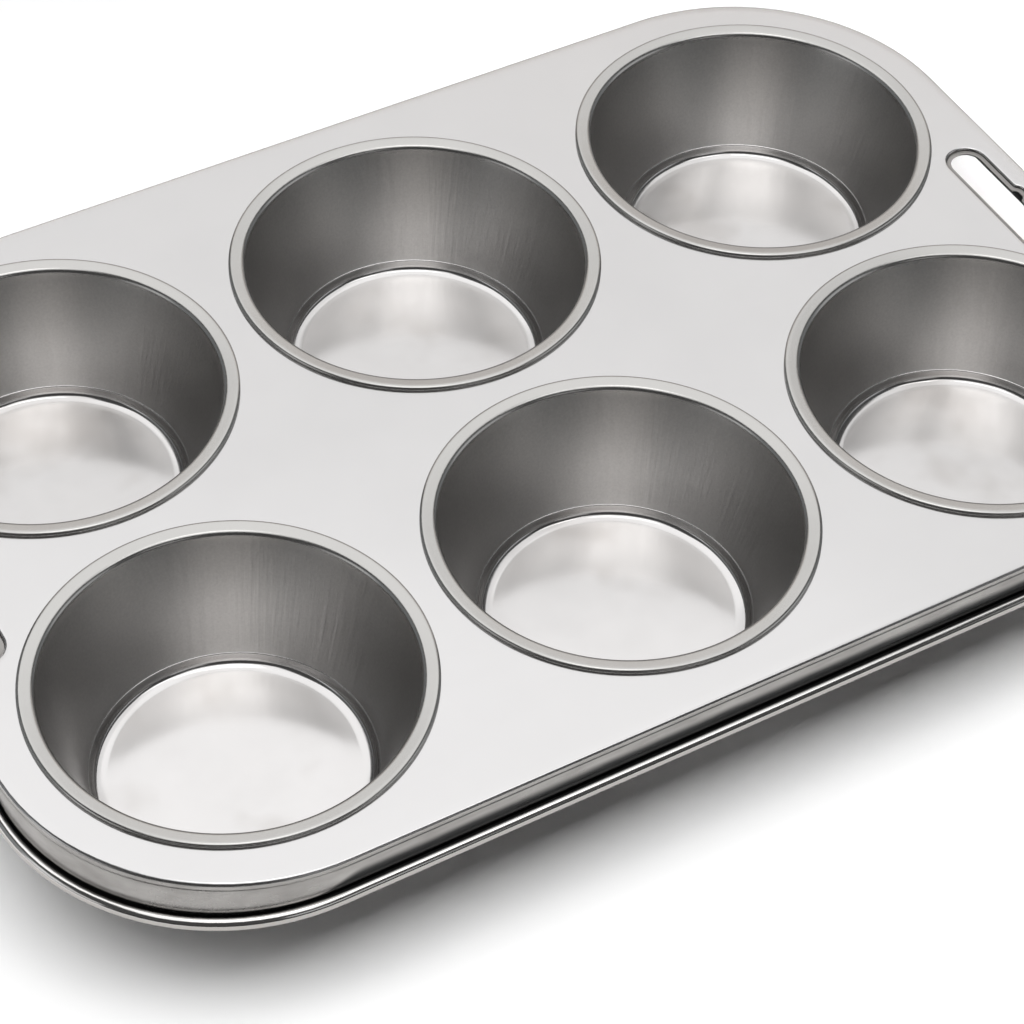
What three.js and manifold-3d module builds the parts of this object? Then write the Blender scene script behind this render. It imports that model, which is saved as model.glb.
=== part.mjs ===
// Jumbo muffin pan: a tinplate tray, six drawn tinplate cups locked into it, and a wire rolled into its rim.
// Millimetres, +Z up, +X along a row of three cups. The origin is on the table, under the middle of the pan.
import * as THREE from "three";
import { mergeVertices } from "three/addons/utils/BufferGeometryUtils.js";
import Module from "manifold-3d";

// Sheet and wire stock
const TRAY_SHEET = 0.35;
const CUP_SHEET = 0.35;
const WIRE_DIAMETER = 2.4;

// Cup, measured on the inside of its sheet
const MOUTH_RADIUS = 44.5; // where the wall would meet the lip's top
const FLOOR_RADIUS = 33.5; // where the wall would meet the floor
const CUP_DEPTH = 35.9; // from the lip's top to the floor
const LIP_WIDTH = 4.0; // from the mouth to the lip's outer edge
const HEEL_BEND = 2.6; // middle of the sheet, between wall and floor
const MOUTH_BEND = 1.1; // middle of the sheet, between wall and lip

// Seam that locks a cup into its hole: the cup's lip is folded round a hook that the tray turns up and out
const SEAM_GAP = 0.05; // between the folded layers
const COLLAR_GAP = 0.1; // between the cup's bend and the tray's upturned collar
const UNDERFOLD_GAP = 0.35; // between the collar and the end of the cup's fold

// Layout of the cups on the deck
const ROW_NAMES = ["front", "back"];
const COLUMN_NAMES = ["left", "middle", "right"];
const WEB = 7.5; // deck left between two lips
const END_MARGIN = 9.8; // deck from the last lip to the short edge
const SIDE_MARGIN = 10.4; // deck from the lips to the long edge

// Tray edge
const CORNER_RADIUS = 60; // outside of the skirt, seen from above, at the deck
const CORNER_LEAN = 4; // how much smaller that radius is at the skirt's foot, so that the corners lean out
const DECK_BEND = 0.8; // middle of the sheet, between deck and skirt
const SKIRT_DEPTH = 12.0; // from the deck's top to the bottom of the bead
const CURL_ANGLE = 300; // degrees of sheet rolled round the wire
const WIRE_GAP = 0.085; // between the wire and the curl
const WIRE_JOINT = 0.5; // gap between the wire's two ends, behind the back row

// Hanging slot at each short end, with a nail notch in its outer side
const SLOT_LENGTH = 42;
const SLOT_WIDTH = 8.8;
const SLOT_SETBACK = 12.0; // from the short edge to the slot's middle line
const NOTCH_RADIUS = 2.4;
const NOTCH_OFFSET = 3.4; // from the slot's middle line to the notch's centre
const LEDGE_WIDTH = 1.25; // sunk ledge round the slot
const LEDGE_DEPTH = 1.0; // from the deck down to the ledge

// Joins and cuts
const EDGE_STRIP = 1.0; // flat sheet that the edge shares with the deck
const CUT_PAST = 1.0; // how far a cutting block runs past the sheet

// Facets
const CUP_SEGMENTS = 32;
const CORNER_SEGMENTS = 8; // of a quarter turn
const CURL_SEGMENTS = 12;
const BEND_SEGMENTS = 2;
const FOLD_SEGMENTS = 3;
const WIRE_SIDES = 8;
const SLOT_END_SEGMENTS = 6; // of a half turn
const NOTCH_SEGMENTS = 12;

// Heights, from the table up
const LIP_RISE = 2 * CUP_SHEET + TRAY_SHEET + 3 * SEAM_GAP;
const LIP_TOP = CUP_SHEET + CUP_DEPTH;
const DECK_TOP = LIP_TOP - LIP_RISE;
const DECK_BOTTOM = DECK_TOP - TRAY_SHEET;
const LIP_MIDDLE = LIP_TOP - CUP_SHEET / 2;
const UNDERFOLD_MIDDLE = DECK_TOP + SEAM_GAP + CUP_SHEET / 2;
const HOOK_BOTTOM = DECK_TOP + 2 * SEAM_GAP + CUP_SHEET;
const HOOK_TOP = HOOK_BOTTOM + TRAY_SHEET;

// Radii about a cup's axis
const LIP_RADIUS = MOUTH_RADIUS + LIP_WIDTH;
const TAPER = Math.atan((MOUTH_RADIUS - FLOOR_RADIUS) / CUP_DEPTH);
const WALL_ACROSS = CUP_SHEET / Math.cos(TAPER); // the sheet measured level
const FOLD_RADIUS = (LIP_MIDDLE - UNDERFOLD_MIDDLE) / 2;
const FOLD_CENTRE = LIP_RADIUS - CUP_SHEET / 2 - FOLD_RADIUS;
const WALL_UNDER_LIP = MOUTH_RADIUS - CUP_SHEET * Math.tan(TAPER) + WALL_ACROSS;
const BEND_REACH = (MOUTH_BEND - CUP_SHEET / 2) / Math.tan((Math.PI / 2 + TAPER) / 2);
const COLLAR_INSIDE = WALL_UNDER_LIP + BEND_REACH + COLLAR_GAP;
const COLLAR_OUTSIDE = COLLAR_INSIDE + TRAY_SHEET;
const UNDERFOLD_END = COLLAR_OUTSIDE + UNDERFOLD_GAP;

// Plan
const PITCH = 2 * LIP_RADIUS + WEB;
const HALF_LENGTH = ((COLUMN_NAMES.length - 1) * PITCH) / 2 + LIP_RADIUS + END_MARGIN;
const HALF_WIDTH = ((ROW_NAMES.length - 1) * PITCH) / 2 + LIP_RADIUS + SIDE_MARGIN;

// Bead: the curl starts level with its own centre, on the inside of the skirt
const CURL_RADIUS = WIRE_DIAMETER / 2 + WIRE_GAP + TRAY_SHEET / 2;
const BEAD_OFFSET = CURL_RADIUS - TRAY_SHEET / 2; // outwards from the skirt's outer face
const BEAD_HEIGHT = DECK_TOP - SKIRT_DEPTH + CURL_RADIUS + TRAY_SHEET / 2;
const BEAD_TOP = BEAD_HEIGHT + CURL_RADIUS + TRAY_SHEET / 2;

// Deck edge: where the deck plate and the carried edge overlap
const BEND_START = -(DECK_BEND + TRAY_SHEET / 2);
const PLATE_EDGE = BEND_START - EDGE_STRIP / 2;
const STRIP_START = BEND_START - EDGE_STRIP;

const wasm = await Module();
wasm.setup();

// A closed geometry as a manifold-3d solid.
function solidOf(geometry) {
  const bare = new THREE.BufferGeometry();
  bare.setAttribute("position", geometry.getAttribute("position"));
  bare.setIndex(geometry.getIndex());
  const merged = mergeVertices(bare, 1e-4);
  return new wasm.Manifold(
    new wasm.Mesh({
      numProp: 3,
      vertProperties: merged.getAttribute("position").array,
      triVerts: new Uint32Array(merged.getIndex().array),
    }),
  );
}

// A manifold-3d solid as a geometry.
function geometryOf(solid) {
  const mesh = solid.getMesh();
  const geometry = new THREE.BufferGeometry();
  geometry.setAttribute("position", new THREE.BufferAttribute(mesh.vertProperties, 3));
  geometry.setIndex(new THREE.BufferAttribute(mesh.triVerts, 1));
  geometry.computeVertexNormals();
  return geometry;
}

// Points on an arc, angles in radians, both ends included.
function arcPoints(centreX, centreY, radius, from, to, segments) {
  return Array.from({ length: segments + 1 }, (_, i) => {
    const angle = from + ((to - from) * i) / segments;
    return new THREE.Vector2(centreX + radius * Math.cos(angle), centreY + radius * Math.sin(angle));
  });
}

// The round that replaces a corner between two straight lines.
function bendPoints(before, corner, after, radius, segments) {
  const back = before.clone().sub(corner).normalize();
  const on = after.clone().sub(corner).normalize();
  const half = back.angleTo(on) / 2;
  const bisector = back.clone().add(on).normalize();
  const centre = corner.clone().addScaledVector(bisector, radius / Math.sin(half));
  const start = corner.clone().addScaledVector(back, radius / Math.tan(half)).sub(centre);
  const turn = (Math.PI - 2 * half) * Math.sign(on.cross(back));
  return Array.from({ length: segments + 1 }, (_, i) =>
    start.clone().rotateAround(new THREE.Vector2(), (turn * i) / segments).add(centre),
  );
}

// The closed section of a sheet that follows a line, half its thickness to each side.
function sheetSection(line, thickness) {
  const sides = [[], []];
  line.forEach((point, i) => {
    const into = point.clone().sub(line[Math.max(i - 1, 0)]).normalize();
    const out = line[Math.min(i + 1, line.length - 1)].clone().sub(point).normalize();
    const along = into.add(out).normalize();
    const straight = i > 0 ? line[i].clone().sub(line[i - 1]) : line[1].clone().sub(line[0]);
    const reach = thickness / 2 / along.dot(straight.normalize());
    const across = new THREE.Vector2(-along.y, along.x);
    sides[0].push(point.clone().addScaledVector(across, -reach));
    sides[1].push(point.clone().addScaledVector(across, reach));
  });
  return [...sides[0], ...sides[1].reverse()];
}

// A section turned about +Z. The section is in (radius, height).
function turned(section) {
  const geometry = new THREE.LatheGeometry(section, CUP_SEGMENTS);
  return geometry.rotateX(Math.PI / 2);
}

// The skirt's corner radius at a height: it shrinks from the deck down to the bead.
function cornerAt(height) {
  const down = THREE.MathUtils.clamp((DECK_TOP - height) / (DECK_TOP - BEAD_TOP), 0, 1);
  return CORNER_RADIUS - CORNER_LEAN * down;
}

// The tray's outline at a height, moved outwards from the skirt, anticlockwise from the front right corner.
function outline(offset, height) {
  const corner = cornerAt(height);
  const radius = corner + offset;
  const x = HALF_LENGTH - corner;
  const y = HALF_WIDTH - corner;
  const quarter = Math.PI / 2;
  const corners = [[x, -y, -1], [x, y, 0], [-x, y, 1], [-x, -y, 2]];
  return corners.flatMap(([cx, cy, turns]) =>
    arcPoints(cx, cy, radius, turns * quarter, (turns + 1) * quarter, CORNER_SEGMENTS),
  );
}

// A closed section, anticlockwise in (offset, height), carried round the outline.
// A joint of more than 0 leaves the ring open by that much in the middle of the back edge.
function carriedRound(section, joint = 0) {
  const loops = section.map(({ x, y }) => {
    const points = outline(x, y).map((p) => [p.x, p.y, y]);
    if (!joint) return points;
    const afterBackRight = 2 * (CORNER_SEGMENTS + 1);
    const back = points[afterBackRight][1];
    const left = [-joint / 2, back, y];
    const right = [joint / 2, back, y];
    return [left, ...points.slice(afterBackRight), ...points.slice(0, afterBackRight), right];
  });
  const stations = loops[0].length;
  const sides = section.length;
  const corner = (i, j) => (i % stations) * sides + (j % sides);
  const index = [];
  const spans = joint ? stations - 1 : stations;
  for (let i = 0; i < spans; i++) {
    for (let j = 0; j < sides; j++) {
      index.push(corner(i, j), corner(i + 1, j), corner(i + 1, j + 1));
      index.push(corner(i, j), corner(i + 1, j + 1), corner(i, j + 1));
    }
  }
  if (joint) {
    for (let j = 1; j < sides - 1; j++) {
      index.push(corner(0, 0), corner(0, j), corner(0, j + 1));
      index.push(corner(stations - 1, 0), corner(stations - 1, j + 1), corner(stations - 1, j));
    }
  }
  const position = Array.from({ length: stations }, (_, i) => loops.flatMap((loop) => loop[i])).flat();
  const geometry = new THREE.BufferGeometry();
  geometry.setAttribute("position", new THREE.Float32BufferAttribute(position, 3));
  geometry.setIndex(index);
  geometry.computeVertexNormals();
  return geometry;
}

// A plan outline as an upright block between two heights.
function block(points, bottom, top, holes = []) {
  const shape = new THREE.Shape(points);
  shape.holes = holes.map((hole) => new THREE.Path(hole));
  const geometry = new THREE.ExtrudeGeometry(shape, { depth: top - bottom, bevelEnabled: false });
  return solidOf(geometry.translate(0, 0, bottom));
}

// Cup centres, front row first.
const cups = ROW_NAMES.flatMap((row, j) =>
  COLUMN_NAMES.map((column, i) => ({
    name: `cup_${row}_${column}`,
    x: (i - (COLUMN_NAMES.length - 1) / 2) * PITCH,
    y: (j - (ROW_NAMES.length - 1) / 2) * PITCH,
  })),
);

// One cup: floor, heel, tapered wall, lip, and the lip's edge folded down and back under.
function cupGeometry() {
  const half = CUP_SHEET / 2;
  const slant = half / Math.cos(TAPER);
  const centre = new THREE.Vector2(0, half);
  const heel = new THREE.Vector2(FLOOR_RADIUS + slant - half * Math.tan(TAPER), half);
  const mouth = new THREE.Vector2(MOUTH_RADIUS + slant - half * Math.tan(TAPER), LIP_MIDDLE);
  const lipEdge = new THREE.Vector2(FOLD_CENTRE, LIP_MIDDLE);
  const line = [
    centre,
    ...bendPoints(centre, heel, mouth, HEEL_BEND, BEND_SEGMENTS),
    ...bendPoints(heel, mouth, lipEdge, MOUTH_BEND, BEND_SEGMENTS),
    ...arcPoints(
      FOLD_CENTRE,
      LIP_MIDDLE - FOLD_RADIUS,
      FOLD_RADIUS,
      Math.PI / 2,
      -Math.PI / 2,
      FOLD_SEGMENTS,
    ),
    new THREE.Vector2(UNDERFOLD_END, UNDERFOLD_MIDDLE),
  ];
  return turned(sheetSection(line, CUP_SHEET));
}

// The collar and hook that the tray turns up at a cup's hole.
function hookSolid({ x, y }) {
  const section = [
    [COLLAR_INSIDE, DECK_BOTTOM],
    [COLLAR_OUTSIDE, DECK_BOTTOM],
    [COLLAR_OUTSIDE, HOOK_BOTTOM],
    [FOLD_CENTRE, HOOK_BOTTOM],
    [FOLD_CENTRE, HOOK_TOP],
    [COLLAR_INSIDE, HOOK_TOP],
    [COLLAR_INSIDE, DECK_BOTTOM],
  ].map(([radius, height]) => new THREE.Vector2(radius, height));
  return solidOf(turned(section).translate(x, y, 0));
}

// A block with the slot's plan, notch included, grown outwards by a margin.
// Side is 1 at the right end and -1 at the left.
function slotBlock(side, margin, bottom, top) {
  const middle = side * (HALF_LENGTH - SLOT_SETBACK);
  const radius = SLOT_WIDTH / 2 + margin;
  const run = SLOT_LENGTH / 2 - SLOT_WIDTH / 2;
  const obround = [
    ...arcPoints(middle, run, radius, 0, Math.PI, SLOT_END_SEGMENTS),
    ...arcPoints(middle, -run, radius, Math.PI, 2 * Math.PI, SLOT_END_SEGMENTS),
  ];
  const notchRadius = NOTCH_RADIUS + margin;
  const notch = new THREE.CylinderGeometry(notchRadius, notchRadius, top - bottom, NOTCH_SEGMENTS);
  notch.rotateX(Math.PI / 2);
  notch.translate(middle + side * NOTCH_OFFSET, 0, (top + bottom) / 2);
  return block(obround, bottom, top).add(solidOf(notch));
}

// The sunk ledge round one slot, with the step that joins it to the deck.
function ledgeSolid(side) {
  const ledgeTop = DECK_TOP - LEDGE_DEPTH;
  const clear = DECK_TOP + CUT_PAST;
  const outside = slotBlock(side, LEDGE_WIDTH + TRAY_SHEET, ledgeTop - TRAY_SHEET, DECK_TOP);
  const sunk = slotBlock(side, LEDGE_WIDTH, ledgeTop, clear);
  const through = slotBlock(side, 0, ledgeTop - TRAY_SHEET - CUT_PAST, clear);
  return outside.subtract(sunk).subtract(through);
}

// The deck's edge: a flat strip, the bend, the skirt and the curl round the wire.
function edgeSolid() {
  const half = TRAY_SHEET / 2;
  const flat = new THREE.Vector2(STRIP_START, DECK_TOP - half);
  const bend = new THREE.Vector2(-half, DECK_TOP - half);
  const skirtFoot = new THREE.Vector2(-half, BEAD_HEIGHT);
  const from = Math.PI;
  const to = from + THREE.MathUtils.degToRad(CURL_ANGLE);
  const line = [
    flat,
    ...bendPoints(flat, bend, skirtFoot, DECK_BEND, BEND_SEGMENTS),
    ...arcPoints(BEAD_OFFSET, BEAD_HEIGHT, CURL_RADIUS, from, to, CURL_SEGMENTS),
  ];
  return solidOf(carriedRound(sheetSection(line, TRAY_SHEET)));
}

// The whole tray sheet.
function trayGeometry() {
  const holeRadius = (COLLAR_INSIDE + COLLAR_OUTSIDE) / 2;
  const holes = cups.map(({ x, y }) =>
    arcPoints(x, y, holeRadius, 0, 2 * Math.PI, CUP_SEGMENTS).slice(0, -1),
  );
  let tray = block(outline(PLATE_EDGE, DECK_TOP), DECK_BOTTOM, DECK_TOP, holes).add(edgeSolid());
  for (const cup of cups) tray = tray.add(hookSolid(cup));
  for (const side of [-1, 1]) {
    const sunk = slotBlock(side, LEDGE_WIDTH, DECK_BOTTOM - CUT_PAST, DECK_TOP + CUT_PAST);
    tray = tray.subtract(sunk).add(ledgeSolid(side));
  }
  return geometryOf(tray);
}

// The rim wire, bent to the outline, its two ends butted behind the back row.
function wireGeometry() {
  const section = arcPoints(BEAD_OFFSET, BEAD_HEIGHT, WIRE_DIAMETER / 2, 0, 2 * Math.PI, WIRE_SIDES);
  return carriedRound(section.slice(0, -1), WIRE_JOINT);
}

const trayTin = { color: 0xd6d4d2, roughness: 0.24, metalness: 1 };
const cupTin = { color: 0xbdbab8, roughness: 0.3, metalness: 1 };
const wireSteel = { color: 0xa9a9a8, roughness: 0.4, metalness: 1 };

function named(name, geometry, finish) {
  const mesh = new THREE.Mesh(geometry, new THREE.MeshStandardMaterial(finish));
  mesh.name = name;
  return mesh;
}

const pan = new THREE.Group();
pan.add(named("tray_sheet", trayGeometry(), trayTin));
pan.add(named("rim_wire", wireGeometry(), wireSteel));
for (const { name, x, y } of cups) {
  const cup = named(name, cupGeometry(), cupTin);
  cup.position.set(x, y, 0);
  pan.add(cup);
}

export default pan;
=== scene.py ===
# %% [markdown]
# A jumbo muffin pan is three kinds of metal piece: one pressed tray, six drawn cups and a wire in the rim.
# The measured solids are loaded first and never moved. They say where each piece belongs, and the finer
# pieces made below take their places. Everything is in metres, with +Z up and the table at zero.

# %% Load the measured solids
import math

import bmesh
import bpy
from mathutils import Euler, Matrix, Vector


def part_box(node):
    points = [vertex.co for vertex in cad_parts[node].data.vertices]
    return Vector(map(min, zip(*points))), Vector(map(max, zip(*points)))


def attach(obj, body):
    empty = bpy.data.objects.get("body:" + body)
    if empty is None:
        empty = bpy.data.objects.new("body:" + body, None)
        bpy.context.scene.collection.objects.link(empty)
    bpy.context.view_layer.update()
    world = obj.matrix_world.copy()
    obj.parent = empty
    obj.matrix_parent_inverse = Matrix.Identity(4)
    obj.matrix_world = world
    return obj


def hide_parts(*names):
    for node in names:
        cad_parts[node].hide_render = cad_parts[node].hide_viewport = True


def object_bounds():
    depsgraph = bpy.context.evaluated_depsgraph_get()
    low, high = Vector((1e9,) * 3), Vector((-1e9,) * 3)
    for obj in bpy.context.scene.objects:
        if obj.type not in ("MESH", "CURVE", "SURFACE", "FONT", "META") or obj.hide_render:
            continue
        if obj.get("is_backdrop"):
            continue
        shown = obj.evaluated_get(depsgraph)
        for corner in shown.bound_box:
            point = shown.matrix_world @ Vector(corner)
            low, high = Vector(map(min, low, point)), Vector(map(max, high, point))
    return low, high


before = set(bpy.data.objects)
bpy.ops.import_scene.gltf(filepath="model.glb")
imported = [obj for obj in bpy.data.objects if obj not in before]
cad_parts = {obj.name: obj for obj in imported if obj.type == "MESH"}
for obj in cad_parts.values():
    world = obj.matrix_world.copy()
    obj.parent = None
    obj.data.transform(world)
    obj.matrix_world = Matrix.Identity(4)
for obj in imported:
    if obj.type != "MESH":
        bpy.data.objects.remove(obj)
cad_low, cad_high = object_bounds()
print("solids:", sorted(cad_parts))
print("box in mm:", [round(1000 * size, 1) for size in cad_high - cad_low])

# %% [markdown]
# The sizes below are the ones the solids were built from. Only the stock and the cup's main sizes are
# written out here. Where the cups stand, how high the lip is and how far the tray reaches are read from the
# solids, so that the two can't drift apart.

# %% Sizes
MM = 0.001
SHEET = 0.35 * MM
HALF_SHEET = SHEET / 2
WIRE_RADIUS = 1.2 * MM
WIRE_GAP = 0.085 * MM
MOUTH_RADIUS = 44.5 * MM
FLOOR_RADIUS = 33.5 * MM
CUP_DEPTH = 35.9 * MM
LIP_WIDTH = 4.0 * MM
SEAM_GAP = 0.05 * MM

CUP_NAMES = sorted(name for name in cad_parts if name.startswith("cup_"))
cup_centres = {}
for name in CUP_NAMES:
    low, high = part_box(name)
    cup_centres[name] = Vector(((low.x + high.x) / 2, (low.y + high.y) / 2, 0))
LIP_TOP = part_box(CUP_NAMES[0])[1].z
LIP_RISE = 3 * (SHEET + SEAM_GAP)
DECK_TOP = LIP_TOP - LIP_RISE
DECK_MIDDLE = DECK_TOP - HALF_SHEET
LIP_RADIUS = MOUTH_RADIUS + LIP_WIDTH
CURL_RADIUS = WIRE_RADIUS + WIRE_GAP + HALF_SHEET
BEAD_OFFSET = CURL_RADIUS - HALF_SHEET
print("lip top", round(LIP_TOP / MM, 2), "deck top", round(DECK_TOP / MM, 2), "mm")

# %% [markdown]
# Operators act on whatever is selected, and the solids come in selected. So each new piece starts from a
# clean slate, and inside edit mode the points, edges or faces to work on are picked by where they are.

# %% Picking by place
CLOSE = 0.002 * MM


def clean_slate():
    """Leaves edit mode and deselects every object."""
    if bpy.context.mode != "OBJECT":
        bpy.ops.object.mode_set(mode="OBJECT")
    bpy.ops.object.select_all(action="DESELECT")


def pick(piece, kind, wanted):
    """In edit mode, selects only the points, edges or faces that pass a test."""
    bpy.ops.mesh.select_mode(type=kind)
    bpy.ops.mesh.select_all(action="DESELECT")
    shape = bmesh.from_edit_mesh(piece.data)
    items = {"VERT": shape.verts, "EDGE": shape.edges, "FACE": shape.faces}[kind]
    for item in items:
        if wanted(item):
            item.select_set(True)
    shape.select_flush_mode()
    bmesh.update_edit_mesh(piece.data)


def gather(pieces, name):
    """Joins several objects into one mesh."""
    clean_slate()
    for piece in pieces:
        piece.select_set(True)
    bpy.context.view_layer.objects.active = pieces[0]
    bpy.ops.object.join()
    pieces[0].name = name
    pieces[0].data.name = name
    return pieces[0]


def thicken(piece, thickness):
    """Gives a sheet its gauge, half to each side."""
    clean_slate()
    piece.select_set(True)
    bpy.context.view_layer.objects.active = piece
    bpy.ops.object.modifier_add(type="SOLIDIFY")
    wall = piece.modifiers[-1]
    wall.thickness = thickness
    wall.offset = 0
    wall.use_even_offset = True
    bpy.ops.object.modifier_apply(modifier=wall.name)


def smooth(piece, degrees):
    """Shades round stretches smoothly and keeps cut edges crisp."""
    clean_slate()
    piece.select_set(True)
    bpy.context.view_layer.objects.active = piece
    bpy.ops.object.shade_smooth_by_angle(angle=math.radians(degrees))


print("points closer than", CLOSE / MM, "mm count as one")

# %% [markdown]
# A sheet is easiest to draw as the line through the middle of its thickness. A bent sheet is then straight
# runs joined by bends. By hand that is one point, pulled out with extrude from corner to corner, with each
# corner rounded by a bevel on its point. A curve object could hold the same line, but a mesh line can go
# straight on to be spun or bridged.

# %% Drawing a line with bends
def draw_line(name, corners, closed=False):
    """Draws a line from corner to corner. Each corner is (point, reach of its bend along the line, steps)."""
    points = [Vector(point) for point, _, _ in corners]
    clean_slate()
    bpy.ops.mesh.primitive_plane_add(size=MM, location=points[0])
    line = bpy.context.object
    line.name = name
    bpy.ops.object.transform_apply(location=True)
    bpy.ops.object.mode_set(mode="EDIT")
    bpy.ops.mesh.select_mode(type="VERT")
    bpy.ops.mesh.merge(type="CENTER")
    for here, there in zip(points, points[1:]):
        bpy.ops.mesh.extrude_region_move(TRANSFORM_OT_translate={"value": there - here})
    if closed:
        ends = (points[0], points[-1])
        pick(line, "VERT", lambda v: any((v.co - end).length < CLOSE for end in ends))
        bpy.ops.mesh.edge_face_add()
    for here, (_, reach, steps) in zip(points, corners):
        if reach:
            pick(line, "VERT", lambda v: (v.co - here).length < CLOSE)
            bpy.ops.mesh.bevel(offset=reach, segments=steps, affect="VERTICES")
    bpy.ops.object.mode_set(mode="OBJECT")
    return line


print("lines start from a point, which is a", MM, "m plane merged to its centre")

# %% [markdown]
# Each cup is drawn from a flat disc over a punch, so it is round about its own axis: a floor, a heel, a
# tapered wall and a lip that is folded down and back under the tray's hook. Half of its section spun once
# round the axis is the shortest way to it. The section is drawn at the axis of the world, and the cup moves
# to its hole at the end. Three things are finer than in the solids. The floor's rim rises gently before the
# tight bend into the wall, and that rim is the bright ring round the floor. Above the bend comes a narrow
# steeper band with a tiny ledge on top, where the press struck the foot a second time. And the lip isn't
# quite flat: it falls from a low crown towards the mouth, which greys it, and rolls over a round shoulder
# into the fold, which draws a bright line along it.

# %% Sizes of the cup's bends
FOOT_RADIUS = 31.2 * MM
FOOT_RISE = math.radians(18)
FOOT_REACH = 1.0 * MM
FOOT_STEPS = 6
HEEL_REACH = 1.15 * MM
HEEL_STEPS = 8
BAND_HEIGHT = 3.5 * MM
BAND_LEAN = math.radians(13)
BAND_LEDGE_RUN = 0.3 * MM
BAND_LEDGE_RISE = math.radians(22)
BAND_LEDGE_REACH = 0.14 * MM
BAND_LEDGE_STEPS = 4
MOUTH_BEND = 1.1 * MM
MOUTH_STEPS = 8
CROWN_INNER = 45.65 * MM
CROWN_PEAK = 47.65 * MM
CROWN_FALL = 0.47 * MM
CROWN_CURVE = 1.05
CROWN_STEPS = 4
SHOULDER = 47.9 * MM
SHOULDER_FALL = 0.28 * MM
SHOULDER_REACH = 0.24 * MM
SHOULDER_STEPS = 5
FOLD_REACH = 0.19 * MM
FOLD_STEPS = 6
UNDERFOLD_END = 47.0 * MM

taper = math.atan((MOUTH_RADIUS - FLOOR_RADIUS) / CUP_DEPTH)
print("wall leans out", round(math.degrees(taper), 1), "degrees")

# %% The cup's section
to_middle = HALF_SHEET / math.cos(taper) - HALF_SHEET * math.tan(taper)
lip_middle = LIP_TOP - HALF_SHEET
under_middle = DECK_TOP + SEAM_GAP + HALF_SHEET
fold_edge = LIP_RADIUS - HALF_SHEET
reach_of_bend = math.tan((math.pi / 2 - taper) / 2)


def crown(radius):
    """A place on the lip's middle line."""
    share = (CROWN_PEAK - radius) / (CROWN_PEAK - MOUTH_RADIUS)
    return (radius, 0, lip_middle - CROWN_FALL * share ** CROWN_CURVE)


crown_step = (CROWN_PEAK - CROWN_INNER) / CROWN_STEPS
band_outer = FLOOR_RADIUS + to_middle + math.tan(taper) * (BAND_HEIGHT - HALF_SHEET)
band_inner = band_outer - BAND_LEDGE_RUN
band_top = BAND_HEIGHT - BAND_LEDGE_RUN * math.tan(BAND_LEDGE_RISE)
foot_run = band_inner - math.tan(BAND_LEAN) * (band_top - HALF_SHEET) - FOOT_RADIUS
foot_run /= math.cos(FOOT_RISE) - math.tan(BAND_LEAN) * math.sin(FOOT_RISE)
heel = (FOOT_RADIUS + foot_run * math.cos(FOOT_RISE), 0, HALF_SHEET + foot_run * math.sin(FOOT_RISE))
cup_section = [
    ((0, 0, HALF_SHEET), 0, 0),
    ((FOOT_RADIUS, 0, HALF_SHEET), FOOT_REACH, FOOT_STEPS),
    (heel, HEEL_REACH, HEEL_STEPS),
    ((band_inner, 0, band_top), BAND_LEDGE_REACH, BAND_LEDGE_STEPS),
    ((band_outer, 0, BAND_HEIGHT), BAND_LEDGE_REACH, BAND_LEDGE_STEPS),
    (crown(MOUTH_RADIUS + to_middle), MOUTH_BEND * reach_of_bend, MOUTH_STEPS),
    *[(crown(CROWN_INNER + i * crown_step), 0, 0) for i in range(CROWN_STEPS + 1)],
    ((SHOULDER, 0, lip_middle), SHOULDER_REACH, SHOULDER_STEPS),
    ((fold_edge, 0, lip_middle - SHOULDER_FALL), FOLD_REACH, FOLD_STEPS),
    ((fold_edge, 0, under_middle), FOLD_REACH, FOLD_STEPS),
    ((UNDERFOLD_END, 0, under_middle), 0, 0),
]
cup_model = draw_line("cup_model", cup_section)
print("cup section:", len(cup_model.data.vertices), "points")

# %% [markdown]
# A long straight wall needs a few rings of its own so that its shading stays even, and so does the floor.
# Subdividing the long straight edges of the section before the spin gives them. After the spin the first
# and last section lie on each other and the floor's middle is one point many times over, so doubles are
# merged, then the normals are made to agree, then the sheet gets its gauge.

# %% Spin the cup
CUP_STEPS = 144
CUP_SMOOTH = 50
LONG_EDGE = 8 * MM
LONG_CUTS = 9

clean_slate()
cup_model.select_set(True)
bpy.context.view_layer.objects.active = cup_model
bpy.ops.object.mode_set(mode="EDIT")
pick(cup_model, "EDGE", lambda edge: edge.calc_length() > LONG_EDGE)
bpy.ops.mesh.subdivide(number_cuts=LONG_CUTS)
bpy.ops.mesh.select_all(action="SELECT")
bpy.ops.mesh.spin(steps=CUP_STEPS, angle=2 * math.pi, center=(0, 0, 0), axis=(0, 0, 1))
bpy.ops.mesh.select_all(action="SELECT")
bpy.ops.mesh.remove_doubles(threshold=CLOSE)
bpy.ops.mesh.normals_make_consistent(inside=False)
bpy.ops.object.mode_set(mode="OBJECT")
thicken(cup_model, SHEET)
smooth(cup_model, CUP_SMOOTH)
print("cup faces:", len(cup_model.data.polygons))

# %% [markdown]
# The draw marks run up the wall of each cup, so the cup's finish has to know where a point is on its own
# cup. A named attribute keeps that place, taken while the cup still stands at the middle of the world. The
# cup is then copied six times. Each copy has its own mesh, is turned a little differently, as cups are when
# they drop into the tray, and is moved to its hole with its place applied to the mesh. They came from one
# die, so they all carry its marks on about the same side.

# %% Copy the cup to its six holes
MARKED_SIDE = math.radians(24)
TURN_STEP = math.radians(9)

own_place = cup_model.data.attributes.new("own_place", "FLOAT_VECTOR", "POINT")
for point, vertex in zip(own_place.data, cup_model.data.vertices):
    point.vector = vertex.co

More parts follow.
